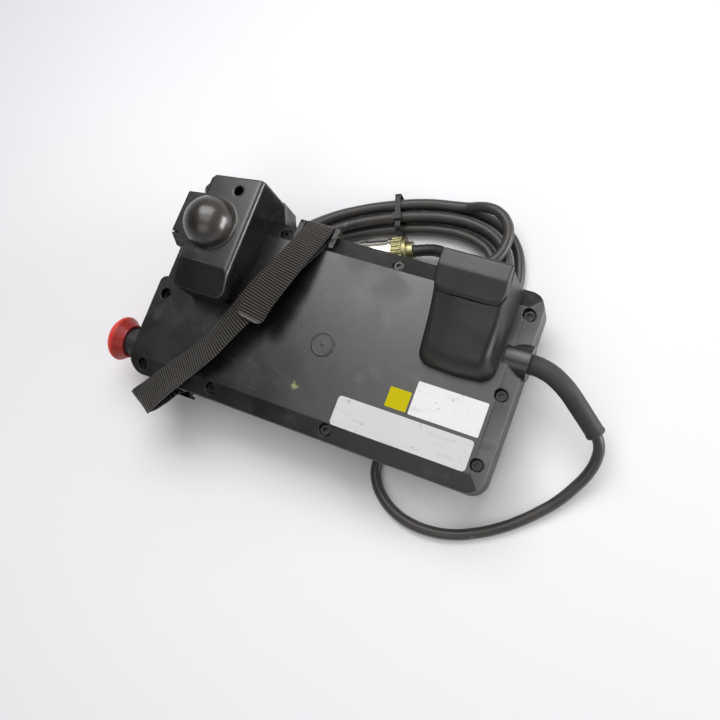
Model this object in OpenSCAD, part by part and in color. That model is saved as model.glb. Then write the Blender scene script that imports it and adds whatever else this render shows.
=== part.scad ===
// Teach pendant lying face down: housing, grip, joystick housing, stop button, strap and cable.
// Design datum: centre of the moulded disc on the rear plateau, +X along the long side,
// +Y away from the operator, +Z out of the back. place() moves it onto the resting surface.

/* [Housing] */
// Right wall, from the datum
body_right = 156; // [154:1:157]
// Left wall, from the datum
body_left = -164; // [-166:1:-163]
// Near wall, from the datum
body_near = -72; // [-73:1:-71]
// Far wall, from the datum
body_far = 90; // [89:1:91]
// Plan radius of the outer corners
corner_r = 14; // [10:1:16]
// Wall thickness of the mouldings
wall = 3; // [2.5:0.5:3.5]
// Depth from the plateau to the front face
body_depth = 36; // [35:1:38]
// Depth from the plateau to the parting line
parting = 12; // [11.5:0.5:12.5]
// Drop of the sloping border below the plateau
border_drop = 8; // [7:0.5:8.5]
// Width of the near border
near_border = 14; // [12:1:16]
// Width of the far border
far_border = 15; // [13:1:17]
// Width of the right border
right_border = 11; // [10:1:12]
// Height of the plateau above the table, face down on the bumpers
rest_h = 65; // [65:1:66]

/* [Joystick pod] */
// Left wall of the pod, which is set in from the housing
pod_left = -158; // [-159:1:-157]
// Far wall of the pod, which stands out past the housing
pod_far = 108; // [106:1:109]
// Near end of the pod, where the housing steps in
pod_step = 15; // [14:1:16]
// Right wall of the joystick housing
pod_right = -83; // [-84:1:-82]
// Height of the joystick housing above the plateau
pod_h = 38; // [36:1:40]
// Radius of the dome on it
dome_r = 22; // [20:1:23]
// Height of its low side box
side_box_h = 28; // [24:1:30]
// Joystick tilt each way, in degrees
stick_tilt = 15; // [10:1:16]

/* [Grip] */
// Width of the hand grip
grip_w = 60; // [56:1:62]
// Height of the hand grip above the plateau
grip_h = 52; // [50:1:54]
// Lip of the enabling lever above the grip
lever_lip = 2.5; // [2:0.5:3]

/* [Emergency stop] */
// Diameter of the mushroom head
stop_d = 40; // [36:1:42]
// Travel of the head
stop_travel = 4; // [3:0.5:5]

/* [Strap] */
// Width of the webbing
strap_w = 25; // [20:1:25]
// Thickness of the webbing
strap_t = 2; // [1.5:0.25:2]

/* [Cable] */
// Diameter of the cable
cable_d = 9; // [8:0.5:9.5]
// Diameter of the rubber boot on it
boot_d = 16; // [15:0.5:17]
// Half length of the outer loop of the coil
coil_a = 120; // [116:1:121]
// Half width of the outer loop of the coil
coil_b = 73; // [71:1:75]
// Step between neighbouring loops
coil_pitch = 11.5; // [11:0.25:12]

/* [Hidden] */
$fn = 48;
eps = 0.01;

// Heights in the datum frame
face_z = -body_depth;
floor_z = -rest_h;
inner_z = face_z + wall;
plateau_near = body_near + near_border;
plateau_far = body_far - far_border;
plateau_right = body_right - right_border;

// Screws that hold the rear cover: around the border, and one in the ear of the pod
screw_near = plateau_near - 5.3;
screw_far = plateau_far + 5.3;
screw_right = body_right - 9;
ear_screw = [-155, 102];
cover_screw_at = [[body_left + 10, 0], [-150, screw_near], [-81, screw_near], [26, screw_near],
  [screw_right, -50], [screw_right, 5], [screw_right, 70], [35, screw_far], [-69, screw_far], ear_screw];
screw_seat = -9;
ear_top = -5;
screw_head_r = 4.2;
screw_r = 2.45;
boss_r = 7.5;
ear_x = -161.5;
ear_y = 93;
seal_in = 1;
seal_w = 1.2;
seal_h = 1;

// Cable entry: half-round boss on the right wall, on the parting line
inlet_y = 36;
inlet_z = -parting;
inlet_r = 14;
inlet_x0 = 139.6;
inlet_x1 = 159;
boot_root_x = 146;

// Grip
grip_x0 = 78;
grip_x1 = grip_x0 + grip_w;
grip_near = 8;
grip_far = 88;
grip_draft = 3;
grip_wall = 3;
ridge_y = 74;
bulge_r = 16;
bulge_z = 6;
bulge_turn = 105;
hollow_r = 90.7;
crease_y = 57;
crease_z = 44;
lever_gap = 0.4;
lever_t = 4;
lever_pivot = [82, 43.5];
lever_pin_r = 2;
plunger_y = 64;
plunger_top = 36.6;

// Emergency stop, on the left wall
stop_y = -47;
stop_z = -24;
stop_rim_x = body_left - 27;
stop_tip_x = body_left - 37;
stop_skirt_x = body_left - 18;
stop_pocket_x = stop_rim_x - 2;
stop_flange_x = body_left - 3;
stop_neck_x = body_left + 12;
stop_collar_r = 12;
stop_stem_r = 4;
stop_neck_r = 6.5;

// Joystick, on the front face under the pod
stick_at = [-131, 46, -18];
stick_pin_r = 2;
stick_r = 3.5;
stick_hole_r = (stick_at[2] - face_z) * tan(stick_tilt) + stick_r / cos(stick_tilt) + 4.5;
run_fit = 0.05;

// Front face: display and keypad
display_x = [-45, 75];
display_y = [8, 72];
keypad_x = [-76, 124];
keypad_y = [-64, 2];
key_cols = 10;
key_rows = 4;
board_x = [-80, 110];
board_y = [-50, 70];
board_z = -20;
board_t = 1.6;
board_screw_at = [[-74, -44], [104, -44], [104, 64], [-74, 64]];

// Strap route: x, y, z of the middle of the webbing and the direction of its width, in degrees.
// It starts at the loose end of the upper layer, turns round the loop and comes back below.
loop_y = 93;
loop_z = -4;
strap_route = [
  [-58.5, -3, 23, -8], [-55.5, 14, 22.8, -5], [-49.5, 38, 19.4, -3], [-45.5, 60, 13.6, -1],
  [-42, 80, 5.8, 0], [-41, 89, 1.6, 0], [-41, 94.4, -1, 0], [-41, 96.2, -3.2, 0], [-41, 95.6, -5.8, 0],
  [-41, 93.4, -7.2, 0], [-41, 90, -6.1, 0], [-42, 80, -0.8, -1], [-46.5, 64, 6.2, -6], [-53.5, 44, 12.6, -12],
  [-61.5, 22, 17.2, -16], [-69, 3, 18.6, -20], [-76.5, -12.5, 17.6, -26], [-87, -32, 13.4, -33],
  [-98.5, -47, 9, -36], [-111, -61.5, 4.6, -38], [-123, -74.5, 0.4, -38], [-133.5, -86, -3.6, -36],
  [-139.6, -92.2, -6.8, -31], [-142, -94.2, -10.4, -25], [-139.4, -91, -14.4, -18],
  [-133.5, body_near - 10.6, -17, -8], [-129.6, body_near - 4.8, -19.2, -3],
  [-128.2, body_near - 2, -22.4, 0], [-128, body_near - 1.35, -25.8, 0], [-128, body_near - 1.25, -29.4, 0],
  [-128, body_near - 1.25, -34, 0]];
strap_steps = 2;
clamp_z = -29.5;
clamp_gap = 2.4;

// Cable route from the boot to the coil, and from the coil to the connector
boot_route = [[157, 36, -12], [160.5, 36, -12], [168, 35.4, -12.2], [176.5, 33.2, -13], [185, 29.2, -15],
  [192.5, 24.5, -17.6], [199.5, 19, -20.6], [207, 13, -24.4], [213.5, 7.8, -28.2], [219, 3.3, -31.6]];
lie = floor_z + 0.2 + cable_d / 2;
lead_route = [[219, 3.3, -31.6], [222.8, -2.4, -36], [224.4, -11, -42.2], [221.9, -24, -49.2],
  [215, -38, -54.6], [206.5, -51.5, lie + 2.7], [196, -64, lie + 0.9], [184, -76, lie + 0.1],
  [170, -87.5, lie], [154, -97.5, lie], [137, -105, lie], [120, -108.5, lie], [103, -108.5, lie],
  [87, -104.5, lie], [74, -97, lie], [64.5, -87, lie], [59.8, -75.5, lie], [60.5, -63.6, lie],
  [65.5, -52.6, lie], [73.6, -43.5, lie], [82.5, -34, lie + 0.1], [90, -20.6, lie + 0.3], [90, -4, lie + 0.5],
  [81.7, 10.3, lie + 0.8], [67.4, 18.6, lie + 1.2], [53.5, 19.2, lie + 1.6]];
tail_route = [[70, 160.1, -44.6], [80, 159.9, -40.9], [89.8, 157.3, -39.4], [98, 151, -39.2],
  [102.8, 142.2, -39.2], [104, 132, -39.2], [101.9, 122, -39.2], [96.4, 113.6, -39.2], [88, 108, -39.4],
  [78, 106, -40.6], [66.6, 108.5, -43.6], [56, 113.2, -47.2], [45.8, 115, -50.2]];

// Coil: true loops in two layers, spiralling in on the lower one and out on the upper one
coil_at = [13, 83.5];
coil_turn = 20;
coil_fullness = 2.3;
coil_start = -90;
coil_turns = 110 / 24;
coil_climb = 2.675;
coil_rings = 24;
coil_low = floor_z + 1.9 + cable_d / 2;
coil_rise = cable_d + 0.6;
coil_sides = 6;

// Tie round the far side of the coil, across its loops
tie_u = 9;
tie_w = 4.6;
tie_t = 1.1;
tie_v = [coil_b - 2.5 * coil_pitch - cable_d / 2 - 0.6, coil_b - 0.5 * coil_pitch + cable_d / 2 + 0.4];
tie_z = [coil_low - cable_d / 2 - 0.4, coil_low + coil_rise + cable_d / 2 + 0.4];

// Connector, lying in the coil
plug_r = 13.5;
plug_at = [-16.5, 94, floor_z + plug_r + 0.2];
plug_yaw = 20;
plug_len = 46;
socket_r = 9.5;
socket_depth = 12;
barrel_r = 11.5;

// Place of the datum on the resting surface
strap_low_y = min([for (p = strap_body_points()) p[1]]);
x_mid = (stop_tip_x + inlet_x1) / 2;
y_mid = (strap_low_y + pod_far) / 2;

module place() translate([-x_mid, -y_mid, -floor_z]) children();

// Points and faces of a tube or a ribbon
function unit(v) = v / norm(v);
function curve(a, b, c, d, t) =
  b + 0.5 * t * (c - a + t * (2 * a - 5 * b + 4 * c - d + t * (3 * (b - c) + d - a)));
function smooth_route(r, steps) = let (n = len(r)) concat(
  [for (i = [0 : n - 2], k = [0 : steps - 1])
    curve(r[max(i - 1, 0)], r[i], r[i + 1], r[min(i + 2, n - 1)], k / steps)], [r[n - 1]]);
function heading(p, i) = unit(p[min(i + 1, len(p) - 1)] - p[max(i - 1, 0)]);
function end_heading(p, i, first, last) = i == 0 && first != undef ? first
  : i == len(p) - 1 && last != undef ? last : heading(p, i);
function ring(c, dir, r, sides) =
  let (side = unit(cross(dir, abs(dir[2]) > 0.9 ? [1, 0, 0] : [0, 0, 1])), up = cross(side, dir))
  [for (k = [0 : sides - 1]) let (a = 360 * (k + 0.5) / sides) c + r * (side * cos(a) + up * sin(a))];
function skin_faces(n, sides) = concat(
  [for (i = [0 : n - 2], k = [0 : sides - 1])
    [i * sides + k, i * sides + (k + 1) % sides, (i + 1) * sides + (k + 1) % sides]],
  [for (i = [0 : n - 2], k = [0 : sides - 1])
    [i * sides + k, (i + 1) * sides + (k + 1) % sides, (i + 1) * sides + k]],
  [for (k = [1 : sides - 2]) [0, k + 1, k]],
  [for (k = [1 : sides - 2]) [(n - 1) * sides, (n - 1) * sides + k, (n - 1) * sides + k + 1]]);

module tube(p, r, sides, first = undef, last = undef, taper = 0) {
  pts = [for (i = [0 : len(p) - 1])
    each ring(p[i], end_heading(p, i, first, last), r - taper * i / (len(p) - 1), sides)];
  polyhedron(points = pts, faces = skin_faces(len(p), sides), convexity = 10);
}

function xyz(p) = [p[0], p[1], p[2]];
function strap_body_points() =
  let (s = smooth_route(strap_route, strap_steps), p = [for (q = s) xyz(q)])
  [for (i = [0 : len(p) - 1])
    let (w = [cos(s[i][3]), sin(s[i][3]), 0], n = unit(cross(w, heading(p, i))),
      across = unit(cross(heading(p, i), n)))
    each [p[i] - across * strap_w / 2 - n * strap_t / 2, p[i] + across * strap_w / 2 - n * strap_t / 2,
      p[i] + across * strap_w / 2 + n * strap_t / 2, p[i] - across * strap_w / 2 + n * strap_t / 2]];

// Middle of the coil's cable after so many turns
function power(v, e) = sign(v) * pow(abs(v), e);
function coil_point(t) =
  let (in = coil_pitch * (coil_climb - abs(t - coil_climb)), th = coil_start - 360 * t,
    u = (coil_a - in) * power(cos(th), 2 / coil_fullness),
    v = (coil_b - in) * power(sin(th), 2 / coil_fullness),
    climb = min(1, max(0, (t - coil_climb + 0.25) / 0.5)))
  [coil_at[0] + u * cos(coil_turn) - v * sin(coil_turn), coil_at[1] + u * sin(coil_turn) + v * cos(coil_turn),
    coil_low + coil_rise * (0.5 - 0.5 * cos(180 * climb))];
coil_loops = [for (k = [0 : coil_turns * coil_rings]) coil_point(k / coil_rings)];
coil_last = len(coil_loops) - 1;
coil_in_dir = unit(coil_loops[1] - coil_loops[0]);
coil_out_dir = unit(coil_loops[coil_last] - coil_loops[coil_last - 1]);
coil_path = concat([coil_loops[0] - coil_in_dir * cable_d], coil_loops,
  [coil_loops[coil_last] + coil_out_dir * cable_d]);
coil_gap = min([for (i = [0 : coil_last], j = [i + 8 : 1 : coil_last])
  norm(coil_loops[i] - coil_loops[j])]) - cable_d;
echo("least gap of the coil to itself", coil_gap);

// Waste outside a rounded corner whose sides run in the directions sx and sy
module corner(x, y, sx, sy, r) translate([x + sx * r, y + sy * r]) difference() {
  translate([sx > 0 ? -r - 1 : 0, sy > 0 ? -r - 1 : 0]) square(r + 1);
  circle(r);
}

// Rectangle with its own radius at each corner: near left, near right, far right, far left
module rounded(x0, x1, y0, y1, r) difference() {
  translate([x0, y0]) square([x1 - x0, y1 - y0]);
  if (r[0] > 0) corner(x0, y0, 1, 1, r[0]);
  if (r[1] > 0) corner(x1, y0, -1, 1, r[1]);
  if (r[2] > 0) corner(x1, y1, -1, -1, r[2]);
  if (r[3] > 0) corner(x0, y1, 1, -1, r[3]);
}

// Prisms along Z from z0 to z1, along X from y-z outlines, along Y from x-z outlines
module upright(z0, z1) translate([0, 0, z0]) linear_extrude(z1 - z0) children();
module along_x(x0, x1) translate([x0, 0, 0]) rotate([90, 0, 90]) linear_extrude(x1 - x0) children();
module along_y(y0, y1) translate([0, y1, 0]) rotate([90, 0, 0]) linear_extrude(y1 - y0) children();
module turned_x() rotate([0, 90, 0]) rotate_extrude() children();
module rod_x(x0, x1, r) translate([x0, 0, 0]) rotate([0, 90, 0]) cylinder(h = x1 - x0, r = r);
module rod_y(y0, y1, r) translate([0, y0, 0]) rotate([-90, 0, 0]) cylinder(h = y1 - y0, r = r);
module block(x, y, z) translate([x[0], y[0], z[0]]) cube([x[1] - x[0], y[1] - y[0], z[1] - z[0]]);

// Plan of the housing, drawn in by g
module outline(g) difference() {
  polygon([[body_left + g, body_near + g], [body_right - g, body_near + g], [body_right - g, body_far - g],
    [pod_right + 8 - g, body_far - g], [pod_right - 1 - g, pod_far - g], [ear_x + g, pod_far - g],
    [ear_x + g, ear_y + g], [pod_left + g, ear_y + g], [pod_left + g, pod_step - g],
    [body_left + g, pod_step - g]]);
  corner(body_left + g, body_near + g, 1, 1, corner_r - g);
  corner(body_right - g, body_near + g, -1, 1, corner_r - g);
  corner(body_right - g, body_far - g, -1, -1, corner_r - g);
  corner(ear_x + g, pod_far - g, 1, -1, 5.5 - g);
  corner(body_left + g, pod_step - g, 1, -1, 6 - g);
}

// Outer form of the rear cover: plan, cross slope and end slope
module cover_form(g) intersection() {
  upright(-parting - g, 0) outline(g);
  along_x(body_left - 20, body_right + 20) polygon([[body_near, -parting - g], [body_near, -border_drop],
    [plateau_near, 0], [plateau_far, 0], [body_far, -border_drop], [pod_far + 5, -border_drop],
    [pod_far + 5, -parting - g]]);
  along_y(body_near - 20, pod_far + 20) polygon([[body_left - 5, -parting - g], [body_left - 5, 0],
    [plateau_right, 0], [body_right, -border_drop], [body_right, -parting - g]]);
}

module at_screws() for (p = cover_screw_at) translate([p[0], p[1], 0]) children();
module inlet() translate([0, inlet_y, inlet_z]) children();

module rear_cover() color("dimgray") place() difference() {
  union() {
    difference() {
      cover_form(0);
      translate([0, 0, -wall]) cover_form(wall);
    }
    intersection() {
      cover_form(0);
      at_screws() translate([0, 0, -parting]) cylinder(h = parting, r = boss_r);
    }
    intersection() {
      inlet() rod_x(inlet_x0, inlet_x1, inlet_r);
      upright(-parting, parting) translate([inlet_x0, inlet_y - 2 * inlet_r]) square(4 * inlet_r);
    }
    intersection() {
      upright(-parting, ear_top) outline(0);
      translate([ear_screw[0], ear_screw[1], -parting]) cylinder(h = parting, r = 6.4);
    }
    translate([-102, 93, -parting]) cylinder(h = parting - border_drop - 0.5, r = 6);
    translate([0, 0, -eps]) cylinder(h = 0.8 + eps, r = 10);
  }
  at_screws() {
    translate([0, 0, screw_seat]) cylinder(h = 20, r = 5);
    translate([0, 0, -parting - 1]) cylinder(h = 20, r = 2.7);
  }
  inlet() rod_x(inlet_x0 - 30, inlet_x1 + 1, boot_d / 2 + 0.05);
  translate([-102, 93, -parting - 1]) cylinder(h = 20, r = 2.25);
  difference() {
    translate([0, 0, 0.4]) cylinder(h = 2, r = 8.6);
    cylinder(h = 3, r = 1.4);
  }
}

module front_shell() color("dimgray") place() difference() {
  union() {
    difference() {
      upright(face_z, -parting) outline(0);
      upright(inner_z, 1) outline(wall);
    }
    at_screws() translate([0, 0, face_z]) cylinder(h = body_depth - parting, r = 5);
    for (p = board_screw_at) translate([p[0], p[1], face_z]) cylinder(h = board_z - face_z, r = 4);
    intersection() {
      inlet() rod_x(inlet_x0, inlet_x1, inlet_r);
      upright(face_z, -parting) translate([inlet_x0, inlet_y - 2 * inlet_r]) square(4 * inlet_r);
    }
  }
  at_screws() translate([0, 0, inner_z + 2]) cylinder(h = body_depth, r = screw_r + 0.05);
  for (p = board_screw_at) translate([p[0], p[1], inner_z + 3]) cylinder(h = body_depth, r = 1.5);
  inlet() rod_x(inlet_x0 - 30, inlet_x1 + 1, boot_d / 2 + 0.05);
  translate([body_left - 1, stop_y, stop_z]) rod_x(0, wall + 2, stop_neck_r + 0.05);
  block(display_x + [5, -5], display_y + [4, -4], [face_z - 1, inner_z + 1]);
  block(display_x + [1, -1], display_y + [1, -1], [face_z - 1, face_z + 2]);
  block(keypad_x, keypad_y, [face_z - 1, face_z + 1]);
  translate([stick_at[0], stick_at[1], face_z - 1]) cylinder(h = wall + 2, r = stick_hole_r);
  for (s = [-1, 1]) translate([-128 + s * 16, body_near - 1, clamp_z]) rod_y(0, wall + 2, 1.5);
  seal_band(-parting - seal_h, -parting + 1);
}

// Sealing cord in a groove in the shell's rim, open at the cable entry
module seal_band(z0, z1) difference() {
  upright(z0, z1) outline(seal_in);
  upright(z0 - 1, z1 + 1) outline(seal_in + seal_w);
}

module cover_seal() color("black") place() difference() {
  seal_band(-parting - seal_h, -parting);
  inlet() rod_x(inlet_x0 - 30, inlet_x1, boot_d / 2 + 0.05);
}

module cap_screw(head_r, head_h, r, length, key) difference() {
  union() {
    cylinder(h = head_h, r = head_r);
    translate([0, 0, -length]) cylinder(h = length + eps, r = r);
  }
  translate([0, 0, head_h / 2]) cylinder(h = head_h, r = key, $fn = 6);
}

module cover_screws() color("silver") place() at_screws()
  translate([0, 0, screw_seat]) cap_screw(screw_head_r, 4, screw_r, 20, 2);

// Joystick housing: block with a sloping near end, a low side box and a dome, open below
module pod_block(g) {
  near = 4 + g;
  x0 = pod_right - 48 + g;
  x1 = pod_right - g;
  far = pod_far - g;
  intersection() {
    along_x(x0, x1) polygon([[near, -20], [near, 31 - g], [27, pod_h - g], [far, pod_h - g], [far, -20]]);
    upright(-20, pod_h + 1) rounded(x0, x1, near, far, [4 - g / 2, 7 - g / 2, 0, 0]);
    upright(-20, pod_h + 1) polygon([[pod_right - 49, 0], [pod_right + 1, 0], [pod_right + 1, far - 1.8],
      [pod_right - 3, far - 1.8], [pod_right - 44, far - 6.4], [pod_right - 49, far - 12]]);
    along_y(0, pod_far + 1) rounded(x0, x1, -21, pod_h - g, [0, 0, 4 - g / 2, 2 - g / 4]);
  }
}

module joystick_housing() color("dimgray") place() {
  box_x = pod_right - 70.5;
  side = pod_right - 46;
  difference() {
    union() {
      pod_block(0);
      upright(-20, side_box_h)
        polygon([[box_x, 47.5], [box_x + 10, 37.5], [side, 37.5], [side, 88.2], [box_x + 1, 85.2]]);
      translate([pod_right - 32, 61, pod_h]) sphere(r = dome_r);
    }
    difference() {
      union() {
        pod_block(wall);
        block([box_x + wall + 1, side + 8], [50, 82], [-20, side_box_h - wall]);
        intersection() {
          translate([pod_right - 32, 61, pod_h]) sphere(r = dome_r - wall);
          block([pod_right - 60, pod_right], [30, 90], [0, 70]);
        }
      }
      translate([-102, 93, -20]) cylinder(h = 80, r = 7);
    }
    translate([-102, 93, 6]) cylinder(h = 60, r = 4.2);
    translate([-102, 93, -20]) cylinder(h = 60, r = 2.3);
    block([box_x - 1, box_x + 7], [47.4, 49], [side_box_h - 4, side_box_h + 1]);
    cover_form(0);
    upright(-40, -border_drop) translate([-200, -100]) square(300);
  }
}

module housing_screw() color("silver") place()
  translate([-102, 93, 6]) cap_screw(3.9, 4, 2.2, 17, 1.6);

// Hand grip: side outline, drafted ends and rounded plan, drawn in by g
// Near face: a bulge at the foot, then a hollow for the fingers up to the lever's lip
bulge_mid = [grip_near + bulge_r, bulge_z];
hollow_mid = bulge_mid + (bulge_r + hollow_r) * [cos(bulge_turn), sin(bulge_turn)];
function grip_side(g) = concat([[grip_near + g, -20]],
  [for (a = [180 : -7.5 : bulge_turn]) bulge_mid + (bulge_r - g) * [cos(a), sin(a)]],
  [for (a = [4 : 4 : 24]) hollow_mid - (hollow_r + g) * [cos(bulge_turn + a), sin(bulge_turn + a)]],
  [[crease_y, crease_z - lever_lip - g], [crease_y, crease_z - g], [ridge_y, grip_h - g],
    [grip_far - g, grip_h - g], [grip_far - g, -20]]);
module grip_form(g) intersection() {
  along_x(grip_x0 + g, grip_x1 - g) polygon(grip_side(g));
  along_y(grip_near - 1, grip_far + 1) polygon([[grip_x0 + g, -20], [grip_x0 + g, 0],
    [grip_x0 + grip_draft + g, grip_h + 1], [grip_x1 - grip_draft - g, grip_h + 1], [grip_x1 - g, 0],
    [grip_x1 - g, -20]]);
  upright(-20, grip_h + 1) rounded(grip_x0 + g, grip_x1 - g, grip_near + g, grip_far - g,
    [9, 12, 4, 4] - [1, 1, 1, 1] * g / 2);
}

lever_x = [grip_x0 + 4.8, grip_x1 - 6.5];
module lever_slot(g) block(lever_x + [-g, g], [crease_y - g, grip_far - grip_wall - 1 + g], [20, 80]);

module grip_housing() color("dimgray") place() difference() {
  grip_form(0);
  difference() {
    grip_form(grip_wall);
    block([99, 118], [plunger_y - 7, grip_far], [-20, 18]);
  }
  lever_slot(lever_gap);
  translate([0, lever_pivot[0], lever_pivot[1]]) rod_x(grip_x0 + 3.4, grip_x1 - 3.4, lever_pin_r + 0.02);
  cover_form(0);
  upright(-60, -border_drop) translate([0, -100]) square(300);
}

// Enabling lever: bent plate in the top of the grip, hung on the pin by two lugs
module enabling_lever() color("dimgray") place() difference() {
  union() {
    intersection() {
      lever_slot(0);
      along_x(lever_x[0], lever_x[1]) polygon([[crease_y, crease_z - lever_t - 1], [crease_y, crease_z],
        [ridge_y, grip_h], [grip_far - grip_wall - 1, grip_h], [grip_far - grip_wall - 1, grip_h - lever_t],
        [ridge_y - 1, grip_h - lever_t]]);
      upright(0, 80) rounded(lever_x[0], lever_x[1], crease_y, grip_far, [5, 8, 0, 0]);
    }
    for (x = [lever_x[0] + 4, lever_x[1] - 9]) along_x(x, x + 5)
      polygon([[lever_pivot[0] - 5, grip_h - 2], [lever_pivot[0] - 5, lever_pivot[1] - 3.5],
        [lever_pivot[0] + 1.5, lever_pivot[1] - 3.5], [lever_pivot[0] + 1.5, grip_h - 2]]);
    block([105, 112], [plunger_y - 1.5, plunger_y + 1.5], [plunger_top + lever_gap + 0.05, crease_z]);
  }
  translate([0, lever_pivot[0], lever_pivot[1]]) rod_x(grip_x0, grip_x1, lever_pin_r + run_fit);
}

module lever_pin() color("silver") place()
  translate([0, lever_pivot[0], lever_pivot[1]]) rod_x(grip_x0 + 3.5, grip_x1 - 3.5, lever_pin_r);

module enabling_switch() color("black") place() difference() {
  block([99, 118], [plunger_y - 6, plunger_y + 6], [18, 32]);
  translate([108.5, plunger_y, 24]) cylinder(h = 20, r = 3 + run_fit);
}

module switch_plunger() color("firebrick") place()
  translate([108.5, plunger_y, 26]) cylinder(h = plunger_top - 26, r = 3);

// Rubber bumpers under the front face
module bumper(x, y) color("black") place() upright(floor_z, face_z)
  rounded(x[0], x[1], y[0], y[1], [5, 5, 5, 5]);
module bumper_left() bumper([-159, -147], [-66, 9]);
module bumper_pod() bumper([-150, -112], [89, 102]);
module bumper_right() bumper([131, 148], [-62, 78]);

// Emergency stop, turned about its own axis
module on_stop() place() translate([0, stop_y, stop_z]) children();
module stop_head() color("firebrick") on_stop() difference() {
  crown = stop_rim_x - 2;
  turned_x() polygon(concat([[0, stop_tip_x]],
    [for (a = [15 : 15 : 90]) [stop_d / 2 * sin(a), crown + (stop_tip_x - crown) * cos(a)]],
    [[stop_d / 2, stop_rim_x]],
    [for (a = [15 : 15 : 90]) [stop_d / 2 - 5.2 * sin(a), stop_rim_x + 9 * (1 - cos(a))]],
    [[0, stop_skirt_x]]));
  rod_x(stop_pocket_x, 0, stop_collar_r + 0.5);
  rod_x(stop_rim_x - 7, 0, stop_stem_r + run_fit);
}

module stop_stem() color("silver") on_stop()
  rod_x(stop_rim_x - 6.9, stop_neck_x - stop_travel - 1, stop_stem_r);

module stop_collar() color("black") on_stop() difference() {
  union() {
    rod_x(stop_pocket_x + stop_travel + 2.5, stop_flange_x, stop_collar_r);
    rod_x(stop_flange_x - eps, body_left, stop_collar_r + 1.6);
    rod_x(body_left - eps, stop_neck_x, stop_neck_r);
  }
  rod_x(stop_rim_x, stop_neck_x + 2, stop_stem_r + run_fit);
}

module stop_nut() color("silver") on_stop() difference() {
  translate([body_left + wall, 0, 0]) rotate([0, 90, 0]) cylinder(h = 4, r = 8.8, $fn = 6);
  rod_x(body_left, stop_neck_x, stop_neck_r + 0.05);
}

module stop_contacts() color("gold") place() union() {
  far_x = stop_neck_x + 24;
  block([stop_neck_x, far_x], [stop_y - 10.5, stop_y + 12], [inner_z, -14]);
  for (y = [stop_y - 8, stop_y + 4]) block([far_x - eps, far_x + 4], [y, y + 4], [inner_z + 2, inner_z + 8]);
}

module main_board() color("darkgreen") place() difference() {
  union() {
    block(board_x, board_y, [board_z, board_z + board_t]);
    block([70, 100], [20, 45], [board_z + board_t - eps, board_z + 6]);
    for (x = [-60 : 30 : 30]) block([x, x + 16], [-20, -4], [board_z + board_t - eps, board_z + 4]);
  }
  for (p = board_screw_at) translate([p[0], p[1], board_z - 1]) cylinder(h = 5, r = 1.6);
}

module board_screws() color("silver") place() for (p = board_screw_at)
  translate([p[0], p[1], board_z + board_t]) cap_screw(2.8, 2, 1.45, 8, 1.2);

module display_module() color("silver") place() block(display_x, display_y, [inner_z, inner_z + 8]);

module display_window() color("lightsteelblue") place()
  block(display_x + [1.1, -1.1], display_y + [1.1, -1.1], [face_z + 0.1, face_z + 2]);

// Membrane with a grid of embossed keys on the front
module keypad_membrane() color("gray") place() union() {
  block(keypad_x + [0.2, -0.2], keypad_y + [0.2, -0.2], [face_z, face_z + 1]);
  step_x = (keypad_x[1] - keypad_x[0]) / key_cols;
  step_y = (keypad_y[1] - keypad_y[0]) / key_rows;
  for (i = [0 : key_cols - 1], j = [0 : key_rows - 1])
    translate([keypad_x[0] + step_x * (i + 0.5) - 7, keypad_y[0] + step_y * (j + 0.5) - 5, face_z - 0.8])
      cube([14, 10, 1]);
}

// Joystick: frame on four posts, gimbal ring in it, stick in the ring
module on_stick() place() translate(stick_at) children();
module joystick_base() color("black") on_stick() difference() {
  union() {
    difference() {
      block([-22, 22], [-22, 22], [-8, 8]);
      block([-18, 18], [-18, 18], [-9, 9]);
    }
    for (x = [-22, 17], y = [-22, 17]) block([x, x + 5], [y, y + 5], [inner_z - stick_at[2], -8 + eps]);
  }
  rod_x(-30, 30, stick_pin_r + run_fit);
}

module gimbal_ring() color("silver") on_stick() difference() {
  union() {
    block([-15, 15], [-15, 15], [-3.5, 3.5]);
    rod_x(-21.6, 21.6, stick_pin_r);
  }
  block([-10, 10], [-10, 10], [-4, 4]);
  rod_y(-16, 16, stick_pin_r + run_fit);
}

module joystick_stick() color("black") on_stick() union() {
  block([-6.5, 6.5], [-6.5, 6.5], [-3.5, 3.5]);
  rod_y(-14, 14, stick_pin_r);
  translate([0, 0, -34]) cylinder(h = 32, r = stick_r);
  rotate_extrude() difference() {
    circle(16);
    circle(14.5);
    translate([-40, -40]) square([40, 80]);
    polygon([[0, 0], [0, 40], [40, 40], [40, -40 / tan(52)]]);
  }
  rotate_extrude() polygon([[0, -26], [5, -26], [6, -29], [9, -31], [10, -34], [9.6, -38], [7.5, -41],
    [4, -42.2], [0, -42.4]]);
}

module joystick_sensor() color("darkgreen") on_stick() union() {
  block([-22, 22], [-22, 22], [8, 9.6]);
  block([-5, 5], [-5, 5], [9.6 - eps, 11.5]);
}

// Hand strap: one webbing, folded round the loop, arched over the back and clamped on the near wall
module hand_strap() color("black") place() {
  pts = strap_body_points();
  polyhedron(points = pts, faces = skin_faces(len(pts) / 4, 4), convexity = 10);
}

// Loop for the strap: a round bar between two feet that stand on the far border
function far_slope(y) = -border_drop * (y - plateau_far) / far_border;
module strap_loop() color("silver") place() union() {
  translate([0, loop_y, loop_z]) rod_x(-59, -22, 2);
  for (x = [-60, -27]) along_x(x, x + 4.6) polygon([[78, far_slope(78)], [89, far_slope(89)], [91, -7.4],
    [96, -6.6], [96.4, -4], [96, -1.4], [86, 0], [78, 1]]);
}

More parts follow.
